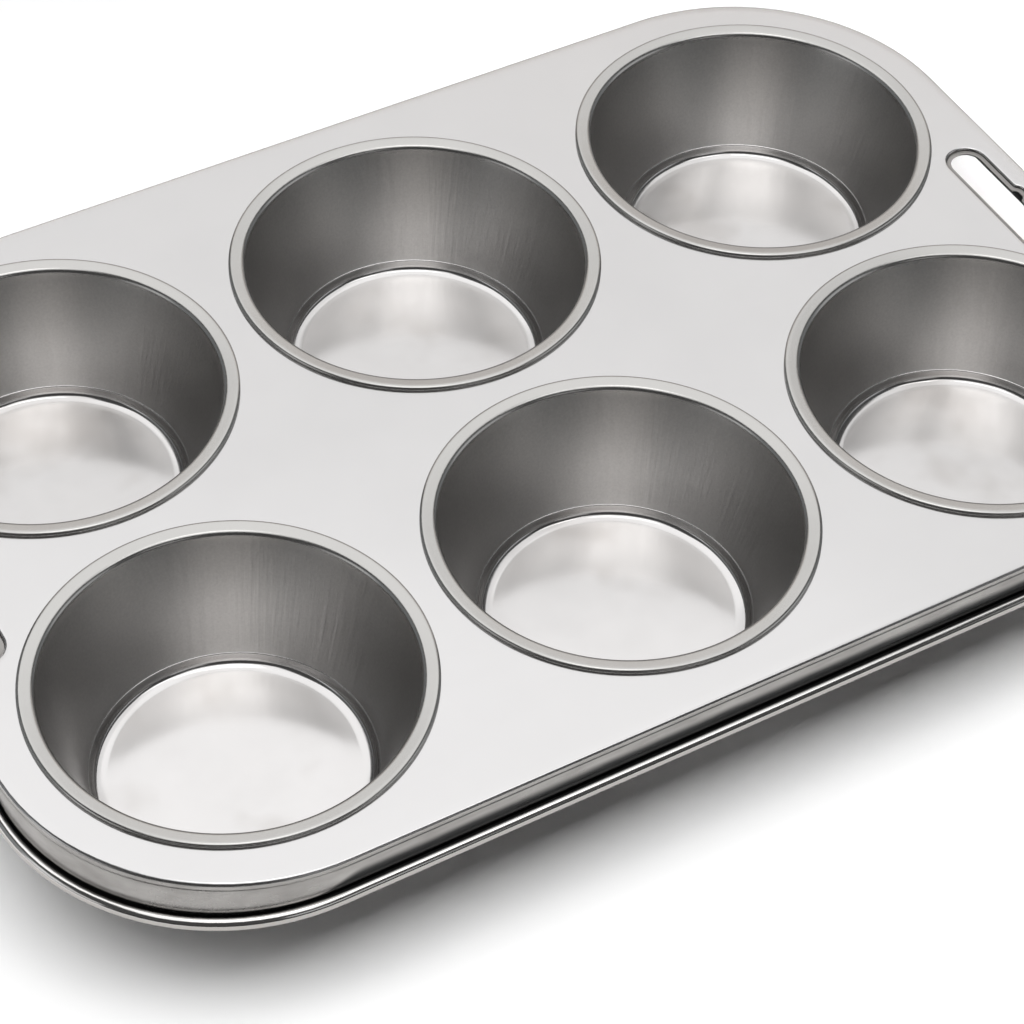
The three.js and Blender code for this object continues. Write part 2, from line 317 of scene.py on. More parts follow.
cups = []
for i, name in enumerate(CUP_NAMES):
    clean_slate()
    cup_model.select_set(True)
    bpy.context.view_layer.objects.active = cup_model
    bpy.ops.object.duplicate()
    cup = bpy.context.object
    cup.name = name.replace("cup", "drawn_cup")
    cup.data.name = cup.name
    cup.rotation_euler.z = MARKED_SIDE + (i * 3 % 5 - 2) * TURN_STEP
    cup.location = cup_centres[name]
    bpy.ops.object.transform_apply(location=True, rotation=True)
    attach(cup, "root")
    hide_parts(name)
    cups.append(cup)
bpy.data.objects.remove(cup_model)
print("cups:", [cup.name for cup in cups])

# %% [markdown]
# The tray is one sheet with an edge, six holes and two slots. It could be a plate with things cut out of
# it, but a pressed sheet has no cuts with hard corners: every hole and edge is a run of bends. So it is
# drawn like a map, as level lines at the sheet's middle, and neighbouring lines are bridged. Every line
# carries its row number in an attribute, so that the bridges know which two lines they join.

# %% Level lines
line_heights = []
tray_lines = []


def keep_line(line):
    """Numbers a drawn loop and keeps it, with its height, for the tray."""
    number = len(tray_lines)
    row = line.data.attributes.new("row", "INT", "POINT")
    row.data.foreach_set("value", [number] * len(line.data.vertices))
    tray_lines.append(line)
    line_heights.append(line.data.vertices[0].co.z)
    return number


def arc(across, height, radius, start, end, steps):
    """Places on an arc of a section as (across, height), angles in degrees, both ends included."""
    angles = [math.radians(start + (end - start) * i / steps) for i in range(steps + 1)]
    return [(across + radius * math.cos(a), height + radius * math.sin(a)) for a in angles]


def contour(section, draw_loop):
    """Draws one loop for each place of a section and gives their row numbers."""
    return [keep_line(draw_loop(across, height)) for across, height in section]


print("lines are numbered in the order they are drawn, from", len(tray_lines))

# %% [markdown]
# The tray's edge bends down into a skirt, and the skirt's foot is rolled outwards round the wire. Its plan
# is a rectangle with round corners: a plane with its four points bevelled. The corners lean out a little,
# because the sheet there is stretched as it is drawn, so the corner radius shrinks on the way down. The
# press leaves a fine crease just below the deck's bend, which three close lines make.

# %% The tray's edge
CORNER_RADIUS = 60 * MM
CORNER_LEAN = 4 * MM
CORNER_STEPS = 24
DECK_BEND = 0.8 * MM
DECK_BEND_STEPS = 6
SKIRT_DEPTH = 12.0 * MM
SUPPORT = 2 * MM
CURL_START = 180
CURL_END = 480
CURL_STEPS = 24
CREASE_DROP = 1.8 * MM
CREASE_REACH = 0.3 * MM
CREASE_DEPTH = 0.15 * MM

HALF_LENGTH = cad_high.x - BEAD_OFFSET - CURL_RADIUS - HALF_SHEET
HALF_WIDTH = cad_high.y - BEAD_OFFSET - CURL_RADIUS - HALF_SHEET
BEAD_HEIGHT = DECK_TOP - SKIRT_DEPTH + CURL_RADIUS + HALF_SHEET
BEAD_TOP = BEAD_HEIGHT + CURL_RADIUS + HALF_SHEET
CREASE_HEIGHT = DECK_TOP - CREASE_DROP


def draw_rim_loop(out, height):
    """The tray's outline at a height, moved outwards from the skirt's face."""
    down = min(max((DECK_TOP - height) / (DECK_TOP - BEAD_TOP), 0), 1)
    clean_slate()
    bpy.ops.mesh.primitive_plane_add(size=2, location=(0, 0, height))
    loop = bpy.context.object
    loop.scale = (HALF_LENGTH + out, HALF_WIDTH + out, 1)
    bpy.ops.object.transform_apply(location=True, scale=True)
    bpy.ops.object.mode_set(mode="EDIT")
    bpy.ops.mesh.select_mode(type="VERT")
    bpy.ops.mesh.select_all(action="SELECT")
    radius = CORNER_RADIUS - CORNER_LEAN * down + out
    bpy.ops.mesh.bevel(offset=radius, segments=CORNER_STEPS, affect="VERTICES")
    bpy.ops.mesh.select_all(action="SELECT")
    bpy.ops.mesh.delete(type="ONLY_FACE")
    bpy.ops.object.mode_set(mode="OBJECT")
    return loop


bend_across = -HALF_SHEET - DECK_BEND
rim_section = [(bend_across - SUPPORT, DECK_MIDDLE)]
rim_section += arc(bend_across, DECK_MIDDLE - DECK_BEND, DECK_BEND, 90, 0, DECK_BEND_STEPS)
rim_section += [(-HALF_SHEET, CREASE_HEIGHT + CREASE_REACH)]
rim_section += [(-HALF_SHEET - CREASE_DEPTH, CREASE_HEIGHT)]
rim_section += [(-HALF_SHEET, CREASE_HEIGHT - CREASE_REACH)]
rim_section += [(-HALF_SHEET, BEAD_HEIGHT + DECK_BEND)]
rim_section += arc(BEAD_OFFSET, BEAD_HEIGHT, CURL_RADIUS, CURL_START, CURL_END, CURL_STEPS)
rim_rows = contour(rim_section, draw_rim_loop)
print("edge:", len(rim_rows), "lines")

# %% [markdown]
# At each hole the sheet turns up into a collar and out into a hook, which the cup's lip is folded round. It
# is hidden from above, but it shows from below as the root of the seam. The hook itself can't be seen at
# all, so it is drawn shorter and lower than in the solids, clear of the lip's fall. Its plan is a circle.

# %% The collars and hooks of the holes
HOLE_STEPS = 96
COLLAR_RADIUS = 45.71 * MM
COLLAR_BEND = 0.25 * MM
COLLAR_STEPS = 4
HOOK_END = 46.6 * MM
HOOK_LIFT = 0.27 * MM

hook_middle = DECK_MIDDLE + COLLAR_BEND + HOOK_LIFT
bend_across = COLLAR_RADIUS + COLLAR_BEND
hole_section = [(bend_across + SUPPORT, DECK_MIDDLE)]
hole_section += arc(bend_across, DECK_MIDDLE + COLLAR_BEND, COLLAR_BEND, 270, 180, COLLAR_STEPS)
hole_section += arc(bend_across, hook_middle - COLLAR_BEND, COLLAR_BEND, 180, 90, COLLAR_STEPS)
hole_section += [(HOOK_END, hook_middle)]

hole_rows = []
for centre in cup_centres.values():
    def draw_hole_loop(radius, height):
        """A circle round one cup's axis."""
        clean_slate()
        place = (centre.x, centre.y, height)
        bpy.ops.mesh.primitive_circle_add(vertices=HOLE_STEPS, radius=radius, location=place)
        bpy.ops.object.transform_apply(location=True)
        return bpy.context.object

    hole_rows.append(contour(hole_section, draw_hole_loop))
print("holes:", len(hole_rows), "with", len(hole_section), "lines each")

# %% [markdown]
# A slot at each short end lets the pan hang. Round it the deck is pressed down into a ledge, and a small
# round notch in its outer side finds the nail. The plan is drawn as eight corners. The ends are rounded
# nearly fully, because two bends that meet would leave double points, and the notch's corners are rounded
# for most of its short sides. The plan is grown by a margin for the ledge and the step.

# %% The hanging slots
SLOT_LENGTH = 42 * MM
SLOT_WIDTH = 8.8 * MM
SLOT_SETBACK = 12.0 * MM
END_SHARE = 0.995
END_STEPS = 10
NOTCH_RADIUS = 2.4 * MM
NOTCH_OFFSET = 3.4 * MM
NOTCH_MOUTH_SHARE = 0.3
NOTCH_TIP_SHARE = 0.65
NOTCH_STEPS = 6
LEDGE_WIDTH = 1.25 * MM
LEDGE_DEPTH = 1.0 * MM
LEDGE_BEND = 0.4 * MM
LEDGE_STEPS = 4

ledge_middle = DECK_MIDDLE - LEDGE_DEPTH
step_across = LEDGE_WIDTH + HALF_SHEET
slot_section = [(step_across + LEDGE_BEND + SUPPORT / 2, DECK_MIDDLE)]
slot_section += arc(step_across + LEDGE_BEND, DECK_MIDDLE - LEDGE_BEND, LEDGE_BEND, 90, 180, LEDGE_STEPS)
slot_section += arc(step_across - LEDGE_BEND, ledge_middle + LEDGE_BEND, LEDGE_BEND, 0, -90, LEDGE_STEPS)
slot_section += [(0, ledge_middle)]

slot_rows = []
for side in (-1, 1):
    def draw_slot_loop(margin, height):
        """The plan of one slot and its notch, grown by a margin."""
        middle = side * (HALF_LENGTH - SLOT_SETBACK)
        half_width = SLOT_WIDTH / 2 + margin
        half_length = SLOT_LENGTH / 2 + margin
        notch = NOTCH_RADIUS + margin
        tip = NOTCH_OFFSET + notch
        turn = math.acos((half_width - NOTCH_OFFSET) / notch)
        mouth = notch * math.sin(turn)
        shoulder = notch * math.tan(turn / 2)
        end_reach = END_SHARE * half_width
        mouth_reach = NOTCH_MOUTH_SHARE * shoulder
        tip_reach = NOTCH_TIP_SHARE * shoulder
        plan = [
            (half_width, -half_length, end_reach, END_STEPS),
            (half_width, -mouth, mouth_reach, NOTCH_STEPS),
            (tip, -shoulder, tip_reach, NOTCH_STEPS),
            (tip, shoulder, tip_reach, NOTCH_STEPS),
            (half_width, mouth, mouth_reach, NOTCH_STEPS),
            (half_width, half_length, end_reach, END_STEPS),
            (-half_width, half_length, end_reach, END_STEPS),
            (-half_width, -half_length, end_reach, END_STEPS),
        ]
        corners = [((middle + side * x, y, height), reach, steps) for x, y, reach, steps in plan]
        return draw_line("slot_line", corners, closed=True)

    slot_rows.append(contour(slot_section, draw_slot_loop))
print("slots:", len(slot_rows), "with", len(slot_section), "lines each")

# %% [markdown]
# Now the lines become a sheet. The flat deck between the first line of every run is filled in one go: fill
# takes a set of loops and leaves the inner ones open. After it come each run's own lines. Two lines at one
# height leave a bridge no direction to go by, so flat rings are filled too, and the bends are bridged. The
# first lines lie a little way in on the flat, so the deck's shading stays flat up to the bends.

# %% Bridge and fill the tray
TRAY_SMOOTH = 40

tray = gather(tray_lines, "pressed_tray")
bpy.ops.object.mode_set(mode="EDIT")


def pick_rows(rows):
    """Selects the edges of the lines with these row numbers, and no edge that is inside a filled face."""
    row = bmesh.from_edit_mesh(tray.data).verts.layers.int["row"]

    def along(edge):
        first, second = (vertex[row] for vertex in edge.verts)
        return first == second and first in rows and len(edge.link_faces) < 2

    pick(tray, "EDGE", along)


runs = [rim_rows, *hole_rows, *slot_rows]
pick_rows([run[0] for run in runs])
bpy.ops.mesh.fill(use_beauty=True)
for run in runs:
    for pair in zip(run, run[1:]):
        pick_rows(pair)
        first, second = (line_heights[row] for row in pair)
        if abs(first - second) < CLOSE:
            bpy.ops.mesh.fill(use_beauty=True)
        else:
            bpy.ops.mesh.bridge_edge_loops()
bpy.ops.mesh.select_all(action="SELECT")
bpy.ops.mesh.normals_make_consistent(inside=False)
bpy.ops.object.mode_set(mode="OBJECT")
thicken(tray, SHEET)
smooth(tray, TRAY_SMOOTH)
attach(tray, "root")
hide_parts("tray_sheet")
print("tray faces:", len(tray.data.polygons))

# %% [markdown]
# Materials are easier to read as sums than as boxes and wires. One small class stands for a socket whose
# value changes over the surface, and the usual operators on it add Math nodes. Every other node comes from
# one method, which sets the node's own settings before it fills or links its sockets.

# %% A small language for nodes
class Varying:
    """A value that changes over a surface. Sums and products of it add Math nodes."""

    def __init__(self, nodes, socket):
        self.nodes = nodes
        self.socket = socket

    def __add__(self, other):
        return self.nodes.maths("ADD", self, other)

    __radd__ = __add__

    def __mul__(self, other):
        return self.nodes.maths("MULTIPLY", self, other)

    __rmul__ = __mul__

    def __sub__(self, other):
        return self.nodes.maths("SUBTRACT", self, other)

    def __rsub__(self, other):
        return self.nodes.maths("SUBTRACT", other, self)

    def __truediv__(self, other):
        return self.nodes.maths("DIVIDE", self, other)


class Nodes:
    """The nodes of one material or world."""

    def __init__(self, owner):
        owner.use_nodes = True
        self.tree = owner.node_tree
        self.tree.nodes.clear()

    def add(self, kind, settings=None, inputs=None, output=0):
        """Adds a node, sets it up, fills or links its sockets and gives one of its outputs."""
        node = self.tree.nodes.new(kind)
        for key, value in (settings or {}).items():
            setattr(node, key, value)
        for key, value in (inputs or {}).items():
            if isinstance(value, Varying):
                self.tree.links.new(value.socket, node.inputs[key])
            else:
                node.inputs[key].default_value = value
        return Varying(self, node.outputs[output]) if node.outputs else None

    def maths(self, operation, *values):
        return self.add("ShaderNodeMath", {"operation": operation}, dict(enumerate(values)))

    def blend(self, share, first, second):
        """A colour between two, by a share from 0 to 1."""
        settings = {"data_type": "RGBA"}
        return self.add("ShaderNodeMix", settings, {0: share, 6: first, 7: second}, output=2)

    def ease(self, value, low, high):
        """0 below low, 1 above high, and a soft step between them."""
        settings = {"interpolation_type": "SMOOTHSTEP"}
        return self.add("ShaderNodeMapRange", settings, {"Value": value, "From Min": low, "From Max": high})

    def parts(self, vector):
        """The three numbers of a vector."""
        return [self.add("ShaderNodeSeparateXYZ", None, {0: vector}, output=i) for i in range(3)]

    def point(self, x, y, z):
        return self.add("ShaderNodeCombineXYZ", None, {0: x, 1: y, 2: z})

    def stretched(self, vector, scale):
        settings = {"operation": "MULTIPLY"}
        return self.add("ShaderNodeVectorMath", settings, {0: vector, 1: scale})

    def noise(self, vector, scale=1.0, detail=3.0, roughness=0.5):
        inputs = {"Vector": vector, "Scale": scale, "Detail": detail, "Roughness": roughness}
        return self.add("ShaderNodeTexNoise", None, inputs)


def rgb(red, green, blue):
    return (red, green, blue, 1)


print("node language ready")

# %% [markdown]
# The deck is bright rolled tinplate. Rolling leaves very fine lines along the sheet, the tin coat leaves
# soft clouds of brighter and duller metal, and no thin sheet is quite flat, so reflections swim a little.
# All three come from noise on the piece's own coordinates, stretched for the rolling lines.

# %% Rolled tinplate
ROLLING_LINES = (14, 900, 900)
RELIEF = 0.6 * MM


def finish_metal(nodes, colour, roughness, height, distance):
    """Ends a bare metal finish. The distance is how deep the relief is for a height of 1."""
    bump = nodes.add("ShaderNodeBump", None, {"Strength": 1, "Distance": distance, "Height": height})
    inputs = {"Base Color": colour, "Roughness": roughness, "Metallic": 1, "Normal": bump}
    shader = nodes.add("ShaderNodeBsdfPrincipled", None, inputs)
    nodes.add("ShaderNodeOutputMaterial", None, {"Surface": shader})


tray_tin = bpy.data.materials.new("tray_tin")
nodes = Nodes(tray_tin)
place = nodes.add("ShaderNodeTexCoord", output="Object")
rolling = nodes.noise(nodes.stretched(place, ROLLING_LINES), detail=3, roughness=0.6)
clouds = nodes.noise(place, scale=28, detail=4, roughness=0.55)
waves = nodes.noise(place, scale=22, detail=1, roughness=0.4)
grain = nodes.noise(place, scale=2600, detail=2, roughness=0.6)
bright = nodes.blend(clouds, rgb(0.735, 0.725, 0.725), rgb(0.81, 0.80, 0.80))
print("deck:", len(nodes.tree.nodes), "nodes")

# %% [markdown]
# The skirt was rubbed dull as it was drawn over the die, so it is rougher, and its colour is darkened as
# painted shade for the shaded floor it mirrors. The bead's top is painted light as a highlight, and its
# underside is painted dark as shade. Height picks the skirt out, and how far a point stands out from the
# skirt's foot tells the bead from the skirt behind it. That distance is taken as for a rectangle with round
# corners.

# %% The skirt and the bead
SKIRT_START = DECK_TOP - 0.15 * MM
SKIRT_FULL = DECK_TOP - 0.8 * MM
BEAD_START = 0.15 * MM
BEAD_FULL = 0.45 * MM
# The painted highlight on the bead's top fades in between these two heights.
BEAD_LIGHT_START = BEAD_HEIGHT + 0.5 * MM
BEAD_LIGHT_FULL = BEAD_HEIGHT + 1.2 * MM
STREAK_STRETCH = (90, 90, 260)

x, y, height = nodes.parts(place)
skirt = nodes.ease(height, SKIRT_START, SKIRT_FULL)
foot_corner = CORNER_RADIUS - CORNER_LEAN
past_x = nodes.maths("ABSOLUTE", x) - (HALF_LENGTH - foot_corner)
past_y = nodes.maths("ABSOLUTE", y) - (HALF_WIDTH - foot_corner)
round_x = nodes.maths("MAXIMUM", past_x, 0)
round_y = nodes.maths("MAXIMUM", past_y, 0)
out = nodes.maths("SQRT", round_x * round_x + round_y * round_y) - foot_corner
bead = nodes.ease(out, BEAD_START, BEAD_FULL)
uneven_streaks = nodes.noise(nodes.stretched(place, STREAK_STRETCH))
# Painted shade: the skirt's colour is darkened to stand in for the shaded floor it mirrors.
dull_and_painted_shade = nodes.blend(uneven_streaks, rgb(0.22, 0.21, 0.2), rgb(0.5, 0.485, 0.47))
# Painted highlight on the bead's top and painted shade on its underside.
bead_top_lit = nodes.ease(height, BEAD_LIGHT_START, BEAD_LIGHT_FULL)
bead_highlight_and_shade = nodes.blend(bead_top_lit, rgb(0.46, 0.44, 0.42), rgb(0.92, 0.905, 0.89))
dull_skirt_and_lit_bead = nodes.blend(bead, dull_and_painted_shade, bead_highlight_and_shade)
print("skirt's foot corner:", round(foot_corner / MM, 1), "mm")

# %% [markdown]
# Painted shade darkens the corner above the bead and the fine crease below the deck, standing in for the dark
# shade the skirt mirrors there. Its edge is uneven, and it reaches higher on the straight sides than round
# the corners.

# %% The painted shade on the skirt
STRAIGHT_END = 6 * MM
STRAIGHT_FULL = -7 * MM
CREVICE_SHADE_REACH = 0.4 * MM
CREVICE_SHADE_SIDE_REACH = 1.9 * MM
CREVICE_SHADE_UNEVEN = 1.4 * MM
CREVICE_SHADE_FADE = 0.5 * MM
CREVICE_SHADE_SIDE_FADE = 1.6 * MM
CREVICE_SHADE_END = 1
CREVICE_SHADE_FULL = -0.3
CREASE_END = 0.34 * MM
CREASE_FULL = 0.1 * MM
CREASE_SHADE = 0.75

straight = nodes.ease(nodes.maths("MINIMUM", past_x, past_y), STRAIGHT_END, STRAIGHT_FULL)
crevice_shade_top = BEAD_TOP + CREVICE_SHADE_REACH + straight * (CREVICE_SHADE_SIDE_REACH + CREVICE_SHADE_UNEVEN * uneven_streaks)
crevice_shade_softness = CREVICE_SHADE_FADE + CREVICE_SHADE_SIDE_FADE * straight
# Painted shade: a mask for the corner above the bead, then for the crease.
crevice_shade = skirt * (1 - bead) * nodes.ease((height - crevice_shade_top) / crevice_shade_softness, CREVICE_SHADE_END, CREVICE_SHADE_FULL)
from_crease = nodes.maths("ABSOLUTE", height - CREASE_HEIGHT)
crease = straight * nodes.ease(from_crease, CREASE_END, CREASE_FULL)
crevice_shade = nodes.maths("MAXIMUM", crevice_shade, CREASE_SHADE * crease)
# Painted shade: near-black colour in the corner above the bead and in the crease.
colour = nodes.blend(crevice_shade, nodes.blend(skirt, bright, dull_skirt_and_lit_bead), rgb(0.04, 0.04, 0.04))
roughness = 0.15 + 0.06 * clouds + 0.04 * rolling + skirt * (0.08 - 0.15 * bead)
finish_metal(nodes, colour, roughness, rolling * 0.004 + grain * 0.001 + waves * 0.25, RELIEF)
tray.data.materials.clear()
tray.data.materials.append(tray_tin)
print("tray finish:", len(nodes.tree.nodes), "nodes")

# %% [markdown]
# The cups are the same metal after a deep draw. The wall was dragged through the die, so it carries marks
# that run straight up it and faint rings where the press paused, and its colour is darkened towards the mouth
# as painted shade under the lip. The marks need the direction round the cup's own axis and the height above
# its floor, which the attribute gives.

# %% The marks of the draw
AXIS_GUARD = 0.5 * MM
WALL_FADE = 0.3 * MM
# Where the painted shade towards the mouth begins and where it is full.
TOP_SHADE_START = 14 * MM
TOP_SHADE_FULL = 34 * MM
LIP_START = 44 * MM
LIP_FULL = 45.2 * MM
SCORED_START = 0.9
SCORED_FULL = 1.25

cup_tin = bpy.data.materials.new("cup_tin")
nodes = Nodes(cup_tin)
own = nodes.add("ShaderNodeAttribute", {"attribute_name": "own_place"}, output="Vector")
x, y, height = nodes.parts(own)
radius = nodes.maths("SQRT", x * x + y * y) + AXIS_GUARD
toward_x = x / radius
toward_y = y / radius


def round_axis(around, upward):
    """A point to read noise at, that changes round the cup's axis and up its wall."""
    return nodes.point(toward_x * around, toward_y * around, height * upward)


lip = nodes.ease(radius, LIP_START, LIP_FULL)
wall = nodes.ease(height, BAND_HEIGHT - WALL_FADE, BAND_HEIGHT + WALL_FADE) * (1 - lip)
# Painted shade: the upper wall is darkened towards the mouth, under the lip.
shaded_upper_wall = nodes.ease(height, TOP_SHADE_START, TOP_SHADE_FULL)
marks = nodes.noise(round_axis(30, 60), detail=2)
broad = nodes.noise(round_axis(3, 40))
rings = nodes.noise(round_axis(1, 450), detail=2)
scored = 0.25 + nodes.ease(toward_x + 0.6 * broad, SCORED_START, SCORED_FULL)
drag = scored * (marks - 0.5) * 0.09 + shaded_upper_wall * (rings - 0.5) * 0.06 + (broad - 0.5) * 0.1
print("marks of the draw:", len(nodes.tree.nodes), "nodes")

# %% [markdown]
# The floor and the band at its foot were only pressed, so they stay smooth, with clouds and a few faint
# stains. The wall's grey is speckled, and darker towards the mouth as painted shade. The lip was rubbed as it
# was folded, so it is darker than the floor.

# %% Drawn tinplate
STAIN_START = 0.5
STAIN_FULL = 0.7

place = nodes.add("ShaderNodeTexCoord", output="Object")
clouds = nodes.noise(place, scale=60, detail=4, roughness=0.55)
waves = nodes.noise(place, scale=45, detail=1, roughness=0.4)
grain = nodes.noise(place, scale=2600, detail=2, roughness=0.6)
speckle = nodes.noise(own, scale=1500, detail=2, roughness=0.6)
blots = nodes.noise(place, scale=24, detail=3, roughness=0.6)
stains = nodes.ease(blots, STAIN_START, STAIN_FULL)
clean = nodes.blend(clouds, rgb(0.735, 0.72, 0.715), rgb(0.84, 0.825, 0.82))
pressed = nodes.blend(0.5 * stains, clean, rgb(0.56, 0.53, 0.51))
low_wall = nodes.blend(speckle, rgb(0.66, 0.65, 0.64), rgb(0.82, 0.805, 0.79))
# Painted shade: the high wall's grey is darker.
shaded_high_wall = nodes.blend(speckle, rgb(0.5, 0.495, 0.49), rgb(0.66, 0.65, 0.64))
drawn = nodes.blend(shaded_upper_wall, low_wall, shaded_high_wall)
worn = nodes.blend(clouds, rgb(0.57, 0.56, 0.545), rgb(0.65, 0.64, 0.625))
colour = nodes.blend(lip, nodes.blend(wall, pressed, drawn), worn)
roughness = 0.1 + 0.07 * clouds + wall * (0.15 + 0.06 * marks) + 0.1 * lip
finish_metal(nodes, colour, roughness, waves * 0.15 + grain * 0.001 + wall * drag, RELIEF)
for cup in cups:
    cup.data.materials.clear()
    cup.data.materials.append(cup_tin)
print("cup finish:", len(nodes.tree.nodes), "nodes")

# %% [markdown]
# The wire is one length of drawn steel, bent to the rim, with its two ends butted behind the back row. It is
# a line with four bends, and a line is given a round section by making it a curve and setting its bevel
# depth. It hides in the curl, so a plain finish will do.

# %% The rim wire
WIRE_JOINT = 0.5 * MM
WIRE_ROUNDING = 4
WIRE_SMOOTH = 40

bead_x = HALF_LENGTH + BEAD_OFFSET
bead_y = HALF_WIDTH + BEAD_OFFSET
bead_corner = foot_corner + BEAD_OFFSET
wire_line = [
    ((-WIRE_JOINT / 2, bead_y, BEAD_HEIGHT), 0, 0),
    ((-bead_x, bead_y, BEAD_HEIGHT), bead_corner, CORNER_STEPS),
    ((-bead_x, -bead_y, BEAD_HEIGHT), bead_corner, CORNER_STEPS),
    ((bead_x, -bead_y, BEAD_HEIGHT), bead_corner, CORNER_STEPS),
    ((bead_x, bead_y, BEAD_HEIGHT), bead_corner, CORNER_STEPS),
    ((WIRE_JOINT / 2, bead_y, BEAD_HEIGHT), 0, 0),
]
wire = draw_line("bent_wire", wire_line)
clean_slate()
wire.select_set(True)
bpy.context.view_layer.objects.active = wire
bpy.ops.object.convert(target="CURVE")
wire.data.bevel_depth = WIRE_RADIUS
wire.data.bevel_resolution = WIRE_ROUNDING
wire.data.use_fill_caps = True
bpy.ops.object.convert(target="MESH")
wire = bpy.context.object
smooth(wire, WIRE_SMOOTH)
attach(wire, "root")
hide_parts("rim_wire")
print("wire faces:", len(wire.data.polygons))

# %% Drawn steel
WIRE_RELIEF = 0.01 * MM

wire_steel = bpy.data.materials.new("wire_steel")
nodes = Nodes(wire_steel)
place = nodes.add("ShaderNodeTexCoord", output="Object")
grain = nodes.noise(place, scale=900, detail=3, roughness=0.6)
colour = nodes.blend(grain, rgb(0.45, 0.45, 0.45), rgb(0.6, 0.6, 0.6))
finish_metal(nodes, colour, 0.35 + 0.1 * grain, grain, WIRE_RELIEF)
wire.data.materials.clear()
wire.data.materials.append(wire_steel)
print("wire finish:", len(nodes.tree.nodes), "nodes")

# %% [markdown]
# The stage is a plain pale floor. Its own colour is a white paper's. Seen directly or in the metal it is
# lifted to white, because the picture's ground is white, and it still takes the pan's shadow. Far from the
# pan, where the lamps don't reach, it glows white instead, so that the ground stays pale from every side.
# The glow is only seen and mirrored. It isn't sampled as a lamp, and nothing is lit by it.

# %% Floor
FLOOR_SIZE = 12
PAPER_WHITE = 0.86
PAPER_LIFT = 1.3
GLOW_START = 0.45
GLOW_FULL = 1.0

clean_slate()
bpy.ops.mesh.primitive_plane_add(size=FLOOR_SIZE, location=(0, 0, 0))
floor = bpy.context.object
floor.name = "floor"
floor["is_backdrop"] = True
paper = bpy.data.materials.new("paper")
nodes = Nodes(paper)
seen = nodes.add("ShaderNodeLightPath", output="Is Camera Ray")
mirrored = nodes.add("ShaderNodeLightPath", output="Is Glossy Ray")
through = nodes.add("ShaderNodeLightPath", output="Is Transmission Ray")
lifted = nodes.maths("MAXIMUM", nodes.maths("MAXIMUM", seen, mirrored), through)
level = PAPER_WHITE * (1 + lifted * (PAPER_LIFT - 1))
diffuse = nodes.add("ShaderNodeBsdfDiffuse", None, {"Color": level})
glow = nodes.add("ShaderNodeEmission", None, {"Color": rgb(1, 1, 1), "Strength": 1.0})
x, y, _ = nodes.parts(nodes.add("ShaderNodeTexCoord", output="Object"))
away = nodes.ease(nodes.maths("SQRT", x * x + y * y), GLOW_START, GLOW_FULL)
ground = nodes.add("ShaderNodeMixShader", None, {0: away * lifted, 1: diffuse, 2: glow})
nodes.add("ShaderNodeOutputMaterial", None, {"Surface": ground})
paper.cycles.emission_sampling = "NONE"
floor.data.materials.append(paper)
print("floor is", FLOOR_SIZE, "m across")

# %% [markdown]
# A shiny pan shows what is round it more than it shows light. So most of the lamps are there to be mirrored,
# in a dim room. A softbox reaches from above the pan to far behind it, brighter in its near half, and the
# deck and the cups' floors mirror it. An overhead panel carries it on towards the camera, with a brighter
# patch where the two meet: the round edges and the far side of each floor mirror that. A small panel beside
# it draws the bright line along the near side's bead. Dimmer panels stand behind the pan and at its sides
# for the walls to catch, and a little warmth behind and blue at the sides gives the metal its tints. Three
# low cards, one in front, give the deck something to mirror when it is seen from an end or from behind.
#
# The paper has one lamp overhead, and a snooted one at the right that whitens the paper under the slot. A
# snoot gathers a lamp's light, so that one's level is low. The metal doesn't mirror those two, and the
# others don't light the paper, so the shadow and the reflections can be set apart from each other.

# %% A panel of light
PAN_TURN = 31
FAR_TURN = math.radians(-PAN_TURN)


def add_panel(name, level, size, forward, aside, height, tilt=0, turn=0, tint=(1, 1, 1)):
    """A flat lamp that looks as bright as its level.

    Forward is away from the camera, aside is to its right. Tilt and turn are degrees from facing down.
    """
    light = bpy.data.lights.new(name, "AREA")
    light.color = tint
    light.shape = "RECTANGLE"
    light.size, light.size_y = size
    light.energy = level * math.pi * light.size * light.size_y
    lamp = bpy.data.objects.new(name, light)
    bpy.context.scene.collection.objects.link(lamp)
    turned = Vector((aside, forward, 0))
    turned.rotate(Euler((0, 0, FAR_TURN)))
    lamp.location = (turned.x, turned.y, height)
    lamp.rotation_euler = (math.radians(tilt), 0, FAR_TURN + math.radians(turn))
    lamp.visible_camera = False
    return lamp


print("away from the camera is", PAN_TURN, "degrees right of the pan's back")

# %% Light
WARM = (1, 0.955, 0.92)
BLUE = (0.92, 0.97, 1)
SNOOT = math.radians(9)
ROOM_LEVEL = 0.055

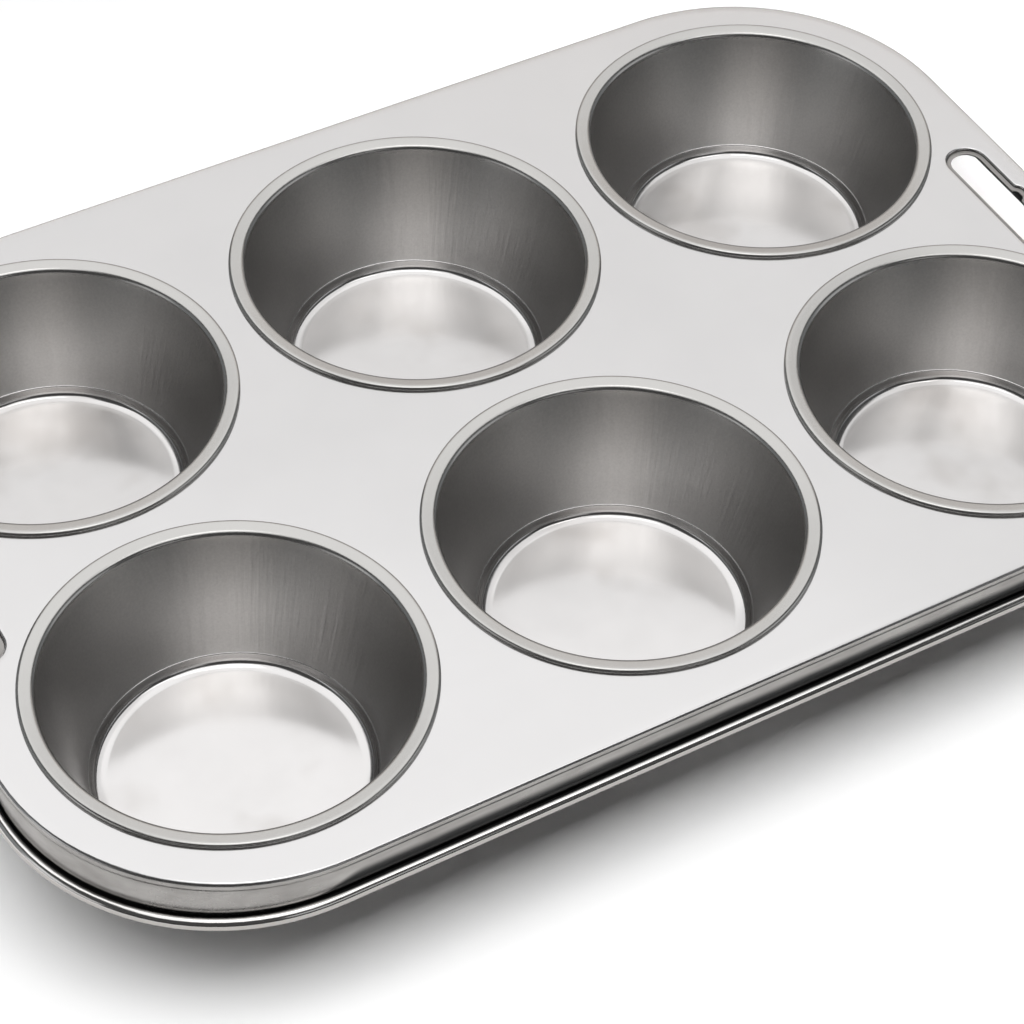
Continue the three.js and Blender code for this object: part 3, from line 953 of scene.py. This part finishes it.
mirrored_panels = [
    add_panel("softbox", 0.86, (2.0, 2.1), 1.05, -0.1, 1.5),
    add_panel("near_half", 0.2, (1.4, 1.2), 0.6, -0.3, 1.45),
    add_panel("overhead", 1.0, (1.2, 0.8), -0.4, 0, 1.5),
    add_panel("bright_patch", 1.1, (0.5, 0.4), -0.14, 0, 1.4),
    add_panel("edge_light", 1.4, (0.5, 0.4), -0.2, 0.75, 1.45),
    add_panel("backdrop", 0.68, (4.4, 1.0), 3.0, 0, 1.7, -90, 0, WARM),
    add_panel("low_backdrop", 0.32, (4.4, 1.1), 3.0, 0, 0.65, -90, 0, WARM),
    add_panel("left_side", 0.16, (4.0, 1.8), 0.5, -2.4, 1.1, -90, 90, BLUE),
    add_panel("right_side", 0.16, (3.25, 1.8), 0.875, 2.4, 1.1, -90, -90, BLUE),
    add_panel("right_card", 0.3, (1.9, 1.4), -0.2, 2.35, 0.8, -90, -90),
    add_panel("left_card", 0.45, (1.9, 1.4), -1.6, -2.35, 0.8, -90, 90),
    add_panel("front_card", 0.35, (1.1, 1.0), -2.05, 1.43, 1.4, 90, 35),
]
for panel in mirrored_panels:
    panel.visible_diffuse = False
paper_lamps = [
    add_panel("paper_lamp", 3.05, (2.2, 1.4), -0.15, -0.14, 1.4, 0, PAN_TURN),
    add_panel("slot_lamp", 0.33, (0.2, 0.2), 0.12, 1.24, 1.4, -38, -90),
]
for panel in paper_lamps:
    panel.visible_glossy = False
paper_lamps[1].data.spread = SNOOT

world = bpy.data.worlds.new("room")
bpy.context.scene.world = world
world.cycles_visibility.diffuse = False
nodes = Nodes(world)
room = nodes.add("ShaderNodeBackground", None, {"Color": rgb(1, 1, 1), "Strength": ROOM_LEVEL})
nodes.add("ShaderNodeOutputWorld", None, {"Surface": room})
print("lamps:", len(mirrored_panels), "to mirror and", len(paper_lamps), "for the paper")

# %% [markdown]
# The camera stands where the photograph's did: off to the left of the pan's front, about three quarters of
# a metre away with a long lens, tipped a little to one side.

# %% Camera
CAMERA_PLACE = Vector((-0.28247, -0.47083, 0.57883))
CAMERA_AIM = Vector((-0.02185, -0.03761, 0.03495))
CAMERA_ROLL = math.radians(2.087)
CAMERA_LENS = 108.31
SENSOR = 36
CLIP_START = 0.05

lens = bpy.data.cameras.new("camera")
lens.sensor_width = SENSOR
lens.lens = CAMERA_LENS
lens.clip_start = CLIP_START
camera = bpy.data.objects.new("camera", lens)
bpy.context.scene.collection.objects.link(camera)
camera.location = CAMERA_PLACE
camera.rotation_euler = (CAMERA_AIM - CAMERA_PLACE).to_track_quat("-Z", "Y").to_euler()
camera.rotation_euler.rotate_axis("Z", CAMERA_ROLL)
bpy.context.scene.camera = camera
bpy.context.scene.view_settings.view_transform = "Standard"
print("camera to aim:", round((CAMERA_AIM - CAMERA_PLACE).length, 3), "m")

# %% [markdown]
# Last, the dressed pan's box is printed, to set beside the solids' box printed at the start.

# %% The dressed box
low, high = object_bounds()
print("dressed box in mm:", [round(1000 * size, 2) for size in high - low])
